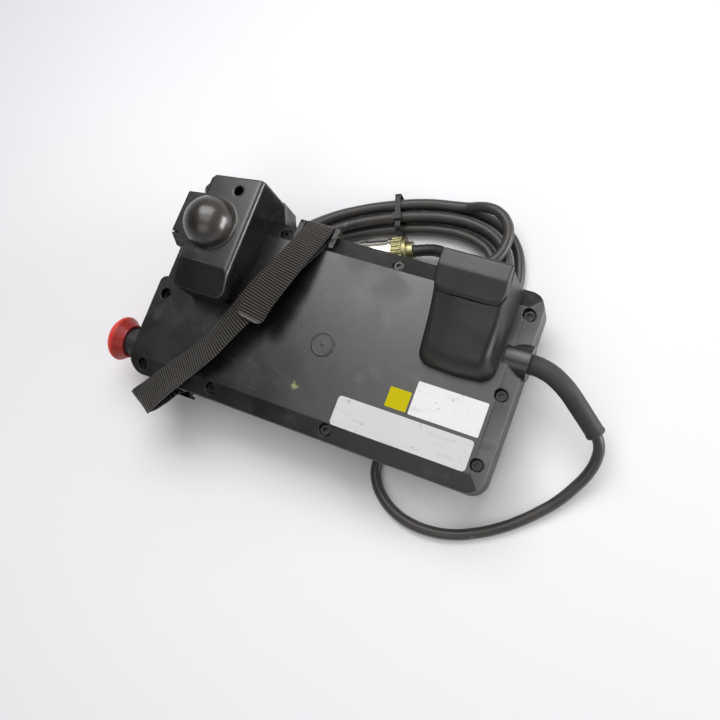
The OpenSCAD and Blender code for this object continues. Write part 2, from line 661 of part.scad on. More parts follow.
// Plate that clamps the end of the strap on the near wall
module strap_clamp() color("silver") place() union() {
  block([-148, -108], [body_near - 4.8, body_near - clamp_gap], [clamp_z - 4.5, clamp_z + 4.5]);
  for (s = [-1, 1]) translate([-128 + s * 16, body_near, clamp_z]) {
    rod_y(-clamp_gap - eps, 0, 3);
    rod_y(-clamp_gap, wall, 1.45);
  }
}

// Saddle that grips the cable inside the right wall
module cable_clamp() color("black") place() difference() {
  block([118, 128], [inlet_y - 13, inlet_y + 13], [inner_z, inlet_z + 6]);
  inlet() rod_x(100, 140, cable_d / 2 + 0.05);
}

module cable_boot() color("dimgray") place() union() {
  inlet() rod_x(boot_root_x, 160, boot_d / 2);
  inlet() rod_x(110, boot_root_x + eps, cable_d / 2);
  tube(boot_route, boot_d / 2 - 0.1, 12, [1, 0, 0], boot_end, 0.7);
}

boot_end = unit(boot_route[9] - boot_route[8]);
module cable_lead() color("gray") place()
  tube(concat(lead_route, [coil_path[0]]), cable_d / 2, 8, boot_end, coil_in_dir);

module cable_coil() color("gray") place() tube(coil_path, cable_d / 2, coil_sides);

plug_dir = [cos(plug_yaw), sin(plug_yaw), 0];
plug_end = plug_at + plug_dir * plug_len;
module cable_tail() color("gray") place()
  tube(concat([coil_path[coil_last + 2]], tail_route, [plug_end + plug_dir * 10, plug_end]), cable_d / 2, 8,
    coil_out_dir, -plug_dir);

module tie_section(g) rounded(tie_v[0] - g, tie_v[1] + g, tie_z[0] - g, tie_z[1] + g, [1, 1, 1, 1] * (4 + g));
module cable_tie() color("black") place()
  translate([coil_at[0], coil_at[1], 0]) rotate([0, 0, coil_turn]) union() {
  along_x(tie_u - tie_w / 2, tie_u + tie_w / 2) difference() {
    tie_section(tie_t);
    tie_section(0);
  }
  block([tie_u - 3.5, tie_u + 3.5], [tie_v[0] + 8, tie_v[0] + 14], [tie_z[1], tie_z[1] + 4]);
}

// Round connector, along its own axis from the mouth
module on_plug() place() translate(plug_at) rotate([0, 0, plug_yaw]) children();
module connector_shell() color("lightgray") on_plug() difference() {
  union() {
    rod_x(0, 38, barrel_r);
    rod_x(4, 6, barrel_r + 0.6);
    rod_x(25, 28, barrel_r + 1.2);
  }
  rod_x(-1, socket_depth, socket_r);
  rod_x(socket_depth - 1, 22, socket_r - 0.4);
  rod_x(21, 40, 6);
}

module connector_insert() color("black") on_plug() difference() {
  rod_x(socket_depth, 22, socket_r - 0.43);
  for (a = [0 : 60 : 300]) rotate([a, 0, 0]) translate([0, 0, 5.5]) rod_x(11, 17, 0.9);
  rod_x(11, 17, 0.9);
}

// Knurled coupling ring
module connector_ring() color("darkgoldenrod") on_plug() difference() {
  rod_x(28.3, 36.8, plug_r - 0.2);
  rod_x(20, 46, barrel_r + run_fit);
  for (a = [0 : 15 : 345]) rotate([a, 0, 0]) translate([0, 0, plug_r + 0.3]) rod_x(27, 40, 1.1);
}

module connector_nut() color("darkgoldenrod") on_plug() difference() {
  union() {
    rod_x(37.1, 40.5, plug_r - 0.6);
    rod_x(40.5 - eps, plug_len, 8.5);
  }
  rod_x(37, 38, barrel_r + 0.02);
  rod_x(37, plug_len - 1, 5.05);
}

front_shell();
rear_cover();
cover_seal();
cover_screws();
joystick_housing();
housing_screw();
grip_housing();
enabling_lever();
lever_pin();
enabling_switch();
switch_plunger();
bumper_left();
bumper_pod();
bumper_right();
stop_head();
stop_stem();
stop_collar();
stop_nut();
stop_contacts();
main_board();
board_screws();
display_module();
display_window();
keypad_membrane();
joystick_base();
gimbal_ring();
joystick_stick();
joystick_sensor();
hand_strap();
strap_loop();
strap_clamp();
cable_clamp();
cable_boot();
cable_lead();
cable_coil();
cable_tail();
cable_tie();
connector_shell();
connector_insert();
connector_ring();
connector_nut();
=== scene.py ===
# Hand-held control pendant lying face down on a pale table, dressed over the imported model.
import math

import bmesh
import bpy
from mathutils import Matrix, Vector


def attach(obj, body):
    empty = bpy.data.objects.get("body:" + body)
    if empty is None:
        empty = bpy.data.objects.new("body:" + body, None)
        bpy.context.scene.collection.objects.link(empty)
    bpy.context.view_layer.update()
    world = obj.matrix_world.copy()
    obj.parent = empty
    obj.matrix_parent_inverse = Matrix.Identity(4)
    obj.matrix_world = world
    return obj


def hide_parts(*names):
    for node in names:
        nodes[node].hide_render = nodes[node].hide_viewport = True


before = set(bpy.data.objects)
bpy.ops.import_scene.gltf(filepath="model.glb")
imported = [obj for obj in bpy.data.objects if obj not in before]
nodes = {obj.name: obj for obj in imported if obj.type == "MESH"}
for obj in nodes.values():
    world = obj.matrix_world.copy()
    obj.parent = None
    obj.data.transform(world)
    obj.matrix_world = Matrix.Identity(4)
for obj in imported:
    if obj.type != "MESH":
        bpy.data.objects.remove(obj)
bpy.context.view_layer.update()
scene = bpy.context.scene
scene.view_settings.view_transform = "Standard"
mm = 0.001
datum = Vector((21, -3.05645, 65)) * mm  # middle of the moulded disc on the back


def at(x, y, z):  # mm from the datum, to a place in metres
    return datum + Vector((x, y, z)) * mm


# camera, placed from the photograph's vanishing lines
view = {"place": (241.3, -86.2, 587.4), "right": (0.898, 0.351, -0.267), "up": (-0.293, 0.927, 0.235),
        "lens": 40, "sensor": 36}
cameraData = bpy.data.cameras.new("viewCamera")
cameraData.lens = view["lens"]
cameraData.sensor_width = view["sensor"]
cameraData.clip_start = 0.01
camera = bpy.data.objects.new("viewCamera", cameraData)
right = Vector(view["right"]).normalized()
back = right.cross(Vector(view["up"])).normalized()
camera.matrix_world = Matrix((right, back.cross(right), back)).transposed().to_4x4()
camera.location = at(*view["place"])
scene.collection.objects.link(camera)
scene.camera = camera
print("camera set")


class Wire:  # one shader output; sums on it add Math nodes
    def __init__(self, finish, socket):
        self.finish = finish
        self.socket = socket

    def join(self, operation, first, second):
        return self.finish.node("ShaderNodeMath", {"operation": operation}, {0: first, 1: second})

    def __add__(self, other):
        return self.join("ADD", self, other)

    def __radd__(self, other):
        return self.join("ADD", other, self)

    def __sub__(self, other):
        return self.join("SUBTRACT", self, other)

    def __rsub__(self, other):
        return self.join("SUBTRACT", other, self)

    def __mul__(self, other):
        return self.join("MULTIPLY", self, other)

    def __rmul__(self, other):
        return self.join("MULTIPLY", other, self)


class Finish:  # one material and its Principled shader
    def __init__(self, name, plain):
        self.material = bpy.data.materials.new(name)
        self.material.use_nodes = True
        self.tree = self.material.node_tree
        self.shader = self.tree.nodes["Principled BSDF"]
        for socketName, value in plain.items():
            self.shader.inputs[socketName].default_value = value
        self.place = self.node("ShaderNodeTexCoord", out="Object")

    def node(self, kind, settings=None, sockets=None, out=0):
        made = self.tree.nodes.new(kind)
        for key, value in (settings or {}).items():
            setattr(made, key, value)
        for key, value in (sockets or {}).items():
            if isinstance(value, Wire):
                self.tree.links.new(value.socket, made.inputs[key])
            else:
                made.inputs[key].default_value = value
        return Wire(self, made.outputs[out])

    def feed(self, socketName, wire):
        self.tree.links.new(wire.socket, self.shader.inputs[socketName])

    def noise(self, scale, detail=3, vector=None, distortion=0):
        return self.node("ShaderNodeTexNoise", {}, {"Vector": vector or self.place, "Scale": scale,
                         "Detail": detail, "Distortion": distortion})

    def step(self, value, low, high):  # smooth 0 to 1 between two levels
        return self.node("ShaderNodeMapRange", {"interpolation_type": "SMOOTHSTEP"},
                         {"Value": value, "From Min": low, "From Max": high})

    def mix(self, factor, first, second):
        return self.node("ShaderNodeMix", {"data_type": "RGBA"}, {0: factor, 6: first, 7: second}, 2)

    def turned(self, turn, scale):  # the object's coordinates, turned and stretched
        return self.node("ShaderNodeMapping", {}, {"Vector": self.place, "Rotation": turn, "Scale": scale})

    def spot(self, x, y, z):  # distance from a place on the object, in mm
        away = self.node("ShaderNodeVectorMath", {"operation": "DISTANCE"},
                         {0: self.place, 1: at(x, y, z)}, "Value")
        return away * (1 / mm)

    def split(self, vector):
        parts = self.node("ShaderNodeSeparateXYZ", {}, {0: vector}).socket.node.outputs
        return [Wire(self, part) for part in parts]

    def bump(self, height, strength, distance, normal=None):
        sockets = {"Height": height, "Strength": strength, "Distance": distance}
        if normal:
            sockets["Normal"] = normal
        return self.node("ShaderNodeBump", {}, sockets)


def grey(level, warm=0.0):
    return (level * (1 + warm), level, level * (1 - warm), 1)


def shaded(colour, share):
    return tuple(part * share for part in colour[:3]) + (1,)


# marks of use on the mouldings, and on the dome a paler patch that is partly a painted highlight; places and
# radii in mm
paintDab = {"place": (-10.3, -39.4, 0), "core": 6.4, "rim": 8.6, "ragged": 10, "colour": (0.27, 0.3, 0.1, 1)}
domeWearAndHighlight = {"place": (-115, 61, 42), "core": 22, "rim": 24, "colour": (0.04, 0.034, 0.029, 1)}


def mouldedBlack(name, level=0.006, rough=0.35, edge=1.1, shine=0.62, dab=None, dome=None):
    finish = Finish(name, {"Specular IOR Level": shine})
    mottle = finish.noise(38, 5)
    haze = finish.noise(9, 3)
    lines = finish.noise(22, 6, finish.turned((0, 0, 0.6), (1, 26, 26)))
    crossLines = finish.noise(30, 5, finish.turned((0, 0, -0.9), (1, 30, 30)))
    scratch = finish.step(lines, 0.69, 0.73) + finish.step(crossLines, 0.70, 0.74)
    rounded = finish.node("ShaderNodeBevel", {"samples": 6}, {"Radius": edge * mm})
    facing = finish.node("ShaderNodeNewGeometry", out="Normal")
    flatness = finish.node("ShaderNodeVectorMath", {"operation": "DOT_PRODUCT"},
                           {0: rounded, 1: facing}, "Value")
    # worn edges, partly a painted highlight: the edges are painted lighter
    edgeWearAndHighlight = finish.step(1 - flatness, 0.02, 0.22) * finish.step(mottle, 0.35, 0.7)
    colour = finish.mix(finish.step(mottle, 0.3, 0.75), grey(level, 0.12), grey(level * 1.7, 0.14))
    colour = finish.mix(edgeWearAndHighlight * 0.55, colour, grey(0.075, 0.06))
    colour = finish.mix(scratch * 0.25, colour, grey(0.11))
    if dab:  # a ragged dab of old paint, and dust over the whole moulding
        ragged = finish.spot(*dab["place"]) + finish.noise(330, 5) * dab["ragged"]
        painted = finish.step(ragged, dab["rim"], dab["core"])
        colour = finish.mix(painted * 0.75, colour, dab["colour"])
        dust = finish.step(finish.noise(55, 7), 0.56, 0.8)
        colour = finish.mix(dust * 0.14, colour, grey(0.2, 0.03))
    smear = finish.step(finish.noise(15, 8, distortion=1.6), 0.52, 0.66)  # old wipe marks
    roughness = rough + (mottle - 0.5) * 0.16 + (haze - 0.5) * 0.2 + scratch * 0.1 + smear * 0.09
    if dome:  # paler and browner where handled, partly a painted highlight, and a little duller
        handledAndLit = finish.step(finish.spot(*dome["place"]), dome["rim"], dome["core"])
        colour = finish.mix(handledAndLit * finish.step(mottle, 0.2, 0.7), colour, dome["colour"])
        roughness = roughness + handledAndLit * 0.03
    finish.feed("Base Color", colour)
    finish.feed("Roughness", roughness)
    grain = finish.noise(1500, 2)
    finish.feed("Normal", finish.bump(grain, strength=0.10, distance=0.2 * mm, normal=rounded))
    return finish.material


def rubber(name, level, rough=0.7):
    finish = Finish(name, {"Specular IOR Level": 0.4})
    warm = 0.03
    mottle = finish.noise(70, 6)
    dust = finish.step(finish.noise(24, 7), 0.5, 0.85)
    colour = finish.mix(mottle, grey(level * 0.7, warm), grey(level * 1.35, warm))
    finish.feed("Base Color", finish.mix(dust * 0.35, colour, grey(level * 2.6, warm)))
    finish.feed("Roughness", rough + (mottle - 0.5) * 0.22)
    finish.feed("Normal", finish.bump(finish.noise(900, 3), strength=0.18, distance=0.3 * mm))
    return finish.material


def metal(name, colour, rough, stain, stainColour):
    finish = Finish(name, {"Metallic": 1.0})
    cloud = finish.noise(160, 6)
    mask = finish.step(cloud, 0.5, 0.72) * stain
    finish.feed("Base Color", finish.mix(mask, colour, stainColour))
    finish.feed("Roughness", rough + mask * 0.3 + (finish.noise(420, 3) - 0.5) * 0.16)
    rounded = finish.node("ShaderNodeBevel", {"samples": 4}, {"Radius": 0.3 * mm})
    finish.feed("Normal", finish.bump(finish.noise(700, 3), strength=0.12, distance=0.2 * mm, normal=rounded))
    return finish.material


def plainPlastic(name, colour, darker, rough, scale=90):
    finish = Finish(name, {"Specular IOR Level": 0.5})
    mottle = finish.noise(scale, 5)
    finish.feed("Base Color", finish.mix(mottle, colour, darker))
    finish.feed("Roughness", rough + (mottle - 0.5) * 0.2)
    finish.feed("Normal", finish.bump(finish.noise(1400, 2), strength=0.08, distance=0.2 * mm))
    return finish.material


coverBlack = mouldedBlack("coverBlack", rough=0.28, shine=0.76, dab=paintDab)
shellBlack = mouldedBlack("shellBlack", shine=0.42)
podBlack = mouldedBlack("podBlack", rough=0.25, edge=2.6, shine=0.76, dome=domeWearAndHighlight)
gripBlack = mouldedBlack("gripBlack", level=0.007, rough=0.43, edge=0.6)
trimBlack = plainPlastic("trimBlack", grey(0.012), grey(0.024), 0.5)
bumperRubber = rubber("bumperRubber", 0.016)
bootRubber = rubber("bootRubber", 0.030, 0.6)
darkSteel = metal("darkSteel", grey(0.034, 0.02), 0.26, 0.7, grey(0.012, 0.1))
brightSteel = metal("brightSteel", grey(0.55, 0.01), 0.28, 0.4, grey(0.2, 0.05))
nickelPlate = metal("nickelPlate", (0.80, 0.77, 0.68, 1), 0.2, 0.6, (0.42, 0.38, 0.24, 1))
oliveBrass = metal("oliveBrass", (0.36, 0.33, 0.17, 1), 0.36, 0.7, (0.12, 0.11, 0.06, 1))
tieNylon = plainPlastic("tieNylon", grey(0.007), grey(0.014), 0.5)
boardGreen = plainPlastic("boardGreen", (0.012, 0.06, 0.025, 1), (0.02, 0.085, 0.03, 1), 0.45)
displayGrey = plainPlastic("displayGrey", grey(0.10), grey(0.13), 0.35)
keypadGrey = plainPlastic("keypadGrey", grey(0.22, 0.02), grey(0.27, 0.02), 0.5)
contactGold = plainPlastic("contactGold", (0.30, 0.22, 0.08, 1), (0.22, 0.16, 0.06, 1), 0.4)
plungerRed = plainPlastic("plungerRed", (0.35, 0.02, 0.015, 1), (0.25, 0.015, 0.012, 1), 0.4)
windowDark = plainPlastic("windowDark", (0.02, 0.022, 0.026, 1), (0.026, 0.028, 0.03, 1), 0.08, 20)

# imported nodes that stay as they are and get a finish; the others are replaced further down
nodeFinish = {
    "rear_cover": coverBlack, "front_shell": shellBlack, "joystick_housing": podBlack,
    "stop_collar": trimBlack, "bumper_left": bumperRubber, "bumper_pod": bumperRubber,
    "bumper_right": bumperRubber, "cover_seal": bumperRubber, "cover_screws": darkSteel,
    "housing_screw": darkSteel, "board_screws": brightSteel, "lever_pin": brightSteel,
    "stop_stem": brightSteel, "stop_nut": brightSteel, "gimbal_ring": brightSteel,
    "strap_loop": darkSteel, "strap_clamp": darkSteel, "enabling_switch": trimBlack,
    "switch_plunger": plungerRed, "stop_contacts": contactGold, "main_board": boardGreen,
    "joystick_sensor": boardGreen, "display_module": displayGrey, "display_window": windowDark,
    "keypad_membrane": keypadGrey, "joystick_base": trimBlack, "joystick_stick": trimBlack,
    "cable_clamp": trimBlack, "cable_tie": tieNylon, "connector_shell": nickelPlate,
    "connector_insert": trimBlack, "connector_ring": oliveBrass, "connector_nut": oliveBrass,
}
for nodeName, material in nodeFinish.items():
    for slot in nodes[nodeName].material_slots:
        slot.material = material
print("moulded, rubber and metal finishes on", len(nodeFinish), "nodes")


def finished(name, bm, material, body, replaced=(), sharp=40):
    mesh = bpy.data.meshes.new(name)
    bm.to_mesh(mesh)
    bm.free()
    for face in mesh.polygons:
        face.use_smooth = True
    mesh.set_sharp_from_angle(angle=math.radians(sharp))
    mesh.materials.append(material)
    piece = bpy.data.objects.new(name, mesh)
    scene.collection.objects.link(piece)
    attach(piece, body)
    if replaced:
        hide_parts(*replaced)
    return piece


def closed(bm):  # open rims filled, faces turned outwards
    bmesh.ops.holes_fill(bm, edges=[edge for edge in bm.edges if edge.is_boundary], sides=0)
    bmesh.ops.recalc_face_normals(bm, faces=bm.faces)
    return bm


def smoothRoute(points, steps):  # even curve through given points, each a Vector
    out = []
    for i in range(len(points) - 1):
        a, b = points[max(i - 1, 0)], points[i]
        c, d = points[i + 1], points[min(i + 2, len(points) - 1)]
        for k in range(steps):
            t = k / steps
            out.append(b + 0.5 * t * (c - a + t * (2 * a - 5 * b + 4 * c - d + t * (3 * (b - c) + d - a))))
    return out + [points[-1]]


def ahead(path, i):  # from the point before to the point after
    return path[min(i + 1, len(path) - 1)] - path[max(i - 1, 0)]


def eased(share):  # kept between 0 and 1, level at both ends
    share = min(max(share, 0), 1)
    return share * share * (3 - 2 * share)


# cable: lead from the boot, wound loops, tail to the connector; route in mm from the datum
cable = {
    "diameter": 9,
    "exit": (219, 3.3, -31.6),
    "lead": [(219, 3.3, -31.6), (222.8, -2.4, -36), (224.4, -11, -42.2), (221.9, -24, -49.2),
             (215, -38, -54.6), (206.5, -51.5, -57.6), (196, -64, -59.4), (184, -76, -60.2),
             (170, -87.5, -60.3), (154, -97.5, -60.3), (137, -105, -60.3), (120, -108.5, -60.3),
             (103, -108.5, -60.3), (87, -104.5, -60.3), (74, -97, -60.3), (64.5, -87, -60.3),
             (59.8, -75.5, -60.3), (60.5, -63.6, -60.3), (65.5, -52.6, -60.3), (73.6, -43.5, -60.3),
             (82.5, -34, -60.2), (90, -20.6, -60), (90, -4, -59.8), (81.7, 10.3, -59.5),
             (67.4, 18.6, -59.1)],
    "tail": [(70, 160.1, -44.6), (80, 159.9, -40.9), (89.8, 157.3, -39.4), (98, 151, -39.2),
             (102.8, 142.2, -39.2), (104, 132, -39.2), (101.9, 122, -39.2), (96.4, 113.6, -39.2),
             (88, 108, -39.4), (78, 106, -40.6), (66.6, 108.5, -43.6), (56, 113.2, -47.2),
             (45.8, 115, -50.2), (36.1, 113.15, -51.3), (26.73, 109.73, -51.3)],
    "middle": (13, 83.5), "turn": 20, "fullness": 2.3, "half": (120, 73), "pitch": 11.5,
    "turns": 110 / 24, "climb": 2.675, "climbTurns": 0.5, "low": -58.6, "rise": 9.6, "rings": 24,
    "tape": {"place": (-26, 172, -49), "core": 15, "rim": 22, "ragged": 16},
}


def loopPoint(t):  # t in turns: inwards on the table, then outwards on top
    drawn = cable["pitch"] * (cable["climb"] - abs(t - cable["climb"]))
    angle = math.radians(-90 - 360 * t)
    power = 2 / cable["fullness"]
    u = (cable["half"][0] - drawn) * math.copysign(abs(math.cos(angle)) ** power, math.cos(angle))
    v = (cable["half"][1] - drawn) * math.copysign(abs(math.sin(angle)) ** power, math.sin(angle))
    climb = min(1, max(0, (t - cable["climb"] + cable["climbTurns"] / 2) / cable["climbTurns"]))
    turn = math.radians(cable["turn"])
    return Vector((cable["middle"][0] + u * math.cos(turn) - v * math.sin(turn),
                   cable["middle"][1] + u * math.sin(turn) + v * math.cos(turn),
                   cable["low"] + cable["rise"] * (0.5 - 0.5 * math.cos(math.pi * climb))))


def cableRoute():
    loops = [loopPoint(k / cable["rings"]) for k in range(round(cable["turns"] * cable["rings"]) + 1)]
    first = loops[0] - (loops[1] - loops[0]).normalized() * cable["diameter"]
    last = loops[-1] + (loops[-1] - loops[-2]).normalized() * cable["diameter"]
    return [at(*p) for p in cable["lead"] + [first] + loops + [last] + cable["tail"]]


def cablePvc():
    finish = Finish("cablePvc", {"Specular IOR Level": 0.45})
    mottle = finish.noise(60, 6)
    smear = finish.noise(26, 7, distortion=0.6)
    colour = finish.mix(mottle, grey(0.032, 0.08), grey(0.055, 0.09))
    colour = finish.mix(finish.step(smear, 0.55, 0.8) * 0.55, colour, grey(0.035, 0.06))
    fleck = finish.step(finish.noise(140, 5), 0.66, 0.8)
    colour = finish.mix(fleck * 0.4, colour, grey(0.3, 0.04))
    tape = cable["tape"]  # a dark taped stretch at the far side of the loops
    ragged = finish.spot(*tape["place"]) + finish.noise(160, 4) * tape["ragged"]
    taped = finish.step(ragged, tape["rim"], tape["core"])
    finish.feed("Base Color", finish.mix(taped * 0.8, colour, grey(0.02)))
    finish.feed("Roughness", 0.38 + (mottle - 0.5) * 0.3)
    finish.feed("Normal", finish.bump(finish.noise(300, 4), strength=0.12, distance=0.6 * mm))
    return finish.material


routePoints = cableRoute()
curve = bpy.data.curves.new("cable", "CURVE")
curve.dimensions = "3D"
curve.bevel_depth = cable["diameter"] / 2 * mm
curve.bevel_resolution = 6
curve.resolution_u = 5
curve.use_fill_caps = True
spline = curve.splines.new("BEZIER")
spline.bezier_points.add(len(routePoints) - 1)
for knot, point in zip(spline.bezier_points, routePoints):
    knot.co = point
    knot.handle_left_type = knot.handle_right_type = "AUTO"
curve.materials.append(cablePvc())
cablePiece = bpy.data.objects.new("cable", curve)
scene.collection.objects.link(cablePiece)
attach(cablePiece, "housing")
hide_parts("cable_lead", "cable_coil", "cable_tail")


def sweep(stations, sides):  # stations: place, heading, radius in metres
    bm = bmesh.new()
    ring = bmesh.ops.create_circle(bm, segments=sides, radius=1.0)["verts"]
    edges = list({edge for vert in ring for edge in vert.link_edges})
    turn = Vector((0, 0, 1)).rotation_difference(stations[0][1])
    heading = stations[0][1]
    before = Matrix.Identity(4)
    for count, (place, nextHeading, radius) in enumerate(stations):
        turn = heading.rotation_difference(nextHeading) @ turn
        heading = nextHeading
        size = Matrix.Diagonal((radius, radius, radius, 1))
        here = Matrix.Translation(place) @ turn.to_matrix().to_4x4() @ size
        if count:
            grown = bmesh.ops.extrude_edge_only(bm, edges=edges)["geom"]
            ring = [item for item in grown if isinstance(item, bmesh.types.BMVert)]
            edges = [item for item in grown if isinstance(item, bmesh.types.BMEdge)]
        bmesh.ops.transform(bm, matrix=here @ before.inverted(), verts=ring)
        before = here
    return closed(bm)


# boot on the cable's exit; the mouth is given as mm inwards from its end, and radius
boot = {
    "route": [(146, 36, -12), (157, 36, -12), (162, 36, -12), (168, 35.4, -12.2), (176.5, 33.2, -13),
              (185, 29.2, -15), (192.5, 24.5, -17.6), (199.5, 19, -20.6), (207, 13, -24.4),
              (213.5, 7.8, -28.2), (219, 3.3, -31.6)],
    "steps": 6, "sides": 28, "radius": (8, 7.3),
    "lip": {"height": 0.55, "middle": 0.975, "half": 0.03},
    "mouth": [(-0.3, 6.6), (0.4, 5.7), (1.6, 5.2), (6, 4.9)],
}


def makeBoot():
    path = smoothRoute([at(*p) for p in boot["route"]], boot["steps"])
    lip = boot["lip"]
    stations = []
    for i, place in enumerate(path):
        share = i / (len(path) - 1)
        radius = boot["radius"][0] + (boot["radius"][1] - boot["radius"][0]) * share
        radius += lip["height"] * max(0, 1 - abs(share - lip["middle"]) / lip["half"])
        stations.append((place, ahead(path, i).normalized(), radius * mm))
    end, heading = stations[-1][:2]
    for inward, radius in boot["mouth"]:
        stations.append((end - heading * inward * mm, heading, radius * mm))
    bm = sweep(stations, boot["sides"])
    return finished("boot", bm, bootRubber, "housing", ["cable_boot"], 60)


# shrink sleeve on the tail, next to the connector
sleeve = {"points": 5, "steps": 8, "sides": 20, "radius": 5.15, "length": 30,
          "ripple": 0.12, "ripplesPerMm": 1.1, "ends": (4.3, 4.4), "overhang": 0.3}


def makeSleeve():
    path = smoothRoute([at(*p) for p in cable["tail"][-sleeve["points"]:]], sleeve["steps"])[::-1]
    stations = []
    run = 0
    for place, nextPlace in zip(path, path[1:]):
        run += (nextPlace - place).length / mm
        if run < sleeve["length"]:
            radius = sleeve["radius"] + sleeve["ripple"] * math.sin(run * sleeve["ripplesPerMm"])
            stations.append((place, (nextPlace - place).normalized(), radius * mm))
    first, heading = stations[0][:2]
    stations.insert(0, (first, heading, sleeve["ends"][0] * mm))
    last, heading = stations[-1][:2]
    stations.append((last + heading * sleeve["overhang"] * mm, heading, sleeve["ends"][1] * mm))
    bm = sweep(stations, sleeve["sides"])
    return finished("tailSleeve", bm, trimBlack, "housing", sharp=60)


bootPiece = makeBoot()
sleevePiece = makeSleeve()
print("boot and sleeve on the cable")

# hand strap: webbing folded round the loop; x, y, z of its middle, yaw and roll of its width
strap = {
    "route": [(-58.5, -3, 23, -8, 0), (-55.5, 14, 22.8, -5, 0), (-49.5, 38, 19.4, -3, 0),
              (-45.5, 60, 13.6, -1, 0), (-42, 80, 5.8, 0, 0), (-41, 89, 1.6, 0, 0), (-41, 94.4, -1, 0, 0),
              (-41, 96.2, -3.2, 0, 0), (-41, 95.6, -5.8, 0, 0), (-41, 93.4, -7.2, 0, 0),
              (-41, 90, -6.1, 0, 0), (-42, 80, -0.8, -1, 0), (-46.5, 64, 6.2, -6, 0),
              (-53.5, 44, 12.6, -12, 2), (-61.5, 22, 16.6, -16, 6), (-69, 3, 17.2, -20, 12),
              (-76.5, -12.5, 16.6, -26, 18), (-87, -32, 13.4, -33, 20), (-98.5, -47, 9.4, -36, 18),
              (-111, -61.5, 5.2, -38, 14), (-123, -74.5, 0.8, -38, 9), (-133.5, -86, -3.6, -36, 4),
              (-139.6, -92.2, -6.8, -31, 0), (-142, -94.2, -10.4, -25, 0), (-139.4, -91, -14.4, -18, 0),
              (-133.5, -82.6, -17, -8, 0), (-129.6, -76.8, -19.2, -3, 0), (-128.2, -74, -22.4, 0, 0),
              (-128, -73.35, -25.8, 0, 0), (-128, -73.25, -29.4, 0, 0), (-128, -73.25, -34, 0, 0)],
    "steps": 14, "width": 25, "thick": 1.8, "edge": 0.5, "rows": 260, "columns": 14, "cornerRadius": 6,
    "rib": 2.3, "yarn": 1.2, "sealed": 4, "cup": {"depth": 0.6, "perMetre": 60},
}


def webbingFinish():
    finish = Finish("webbing", {"Specular IOR Level": 0.25, "Sheen Weight": 0.15, "Sheen Roughness": 0.4})
    where = finish.node("ShaderNodeUVMap", {"uv_map": "cloth"})
    across, along = finish.split(where)[:2]

    def wave(value, length):  # sine along one direction, length in mm
        angle = value * (2 * math.pi / (length * mm))
        return finish.node("ShaderNodeMath", {"operation": "SINE"}, {0: angle})

    rib = wave(along, strap["rib"]) * 0.5 + 0.5
    cells = wave(along, strap["rib"]) * wave(across, strap["yarn"] * 2) * 0.5 + 0.5
    fuzz = finish.noise(900, 3)
    cloud = finish.noise(45, 4)
    height = rib * 0.65 + cells * 0.35
    # the weave's crowns are painted lighter and its valleys near black, a painted highlight and painted shade
    # on the yarn
    crown = finish.step(height + (fuzz - 0.5) * 0.4, 0.42, 0.9)
    colour = finish.mix(crown, grey(0.003, 0.1), grey(0.088, 0.11))
    colour = finish.mix(finish.step(cloud, 0.45, 0.75) * 0.35 * crown, colour, (0.13, 0.1, 0.095, 1))
    tip = finish.step(along, strap["sealed"] * mm, 0.0)  # heat-sealed end of the upper layer
    colour = finish.mix(tip * 0.6, colour, grey(0.2, 0.05))
    finish.feed("Base Color", colour)
    finish.feed("Roughness", 0.72 + (fuzz - 0.5) * 0.3)
    finish.feed("Normal", finish.bump(height + fuzz * 0.25, strength=0.9, distance=0.9 * mm))
    return finish.material


def makeStrap():
    pathPoints = smoothRoute([Vector(p) for p in strap["route"]], strap["steps"])
    places = [at(*p[:3]) for p in pathPoints]
    runs = [0.0]
    for a, b in zip(places, places[1:]):
        runs.append(runs[-1] + (b - a).length)
    length = runs[-1]
    bm = bmesh.new()
    bmesh.ops.create_grid(bm, x_segments=strap["columns"], y_segments=strap["rows"], size=0.5)
    cloth = bm.loops.layers.uv.new("cloth")
    flat = {}
    half = strap["width"] / 2 * mm
    bend = strap["cornerRadius"] * mm
    nearly = 1e-9
    for vert in bm.verts:
        run = (vert.co.y + 0.5) * length
        i = max(k for k in range(len(runs) - 1) if runs[k] <= run + nearly)
        share = (run - runs[i]) / (runs[i + 1] - runs[i])
        middle = places[i].lerp(places[i + 1], share)
        j = min(max(i, 1), len(places) - 3)
        heading = ahead(places, j).lerp(ahead(places, j + 1), share).normalized()
        yaw, roll = [math.radians(turn) for turn in pathPoints[i].lerp(pathPoints[i + 1], share)[3:]]
        normal = Vector((math.cos(yaw), math.sin(yaw), math.tan(roll))).cross(heading).normalized()
        side = heading.cross(normal).normalized()
        room = half
        if run < bend:  # rounded corners at the loose end
            room = half - bend + math.sqrt(max(0, bend * bend - (bend - run) ** 2))
        across = vert.co.x * 2
        offset = across * room
        cup = strap["cup"]["depth"] * mm * across ** 2 * math.sin(run * strap["cup"]["perMetre"])
        flat[vert] = (offset, run)
        vert.co = middle + side * offset + normal * cup
    for face in bm.faces:
        for corner in face.loops:
            corner[cloth].uv = flat[corner.vert]
    piece = finished("handStrap", bm, webbingFinish(), "housing", ["hand_strap"], 70)
    wall = piece.modifiers.new("thickness", "SOLIDIFY")
    wall.thickness = strap["thick"] * mm
    wall.offset = 0
    edge = piece.modifiers.new("edge", "BEVEL")
    edge.width = strap["edge"] * mm
    edge.segments = 2
    edge.limit_method = "ANGLE"
    edge.angle_limit = math.radians(50)
    print("strap", round(length, 3), "m of webbing")


makeStrap()

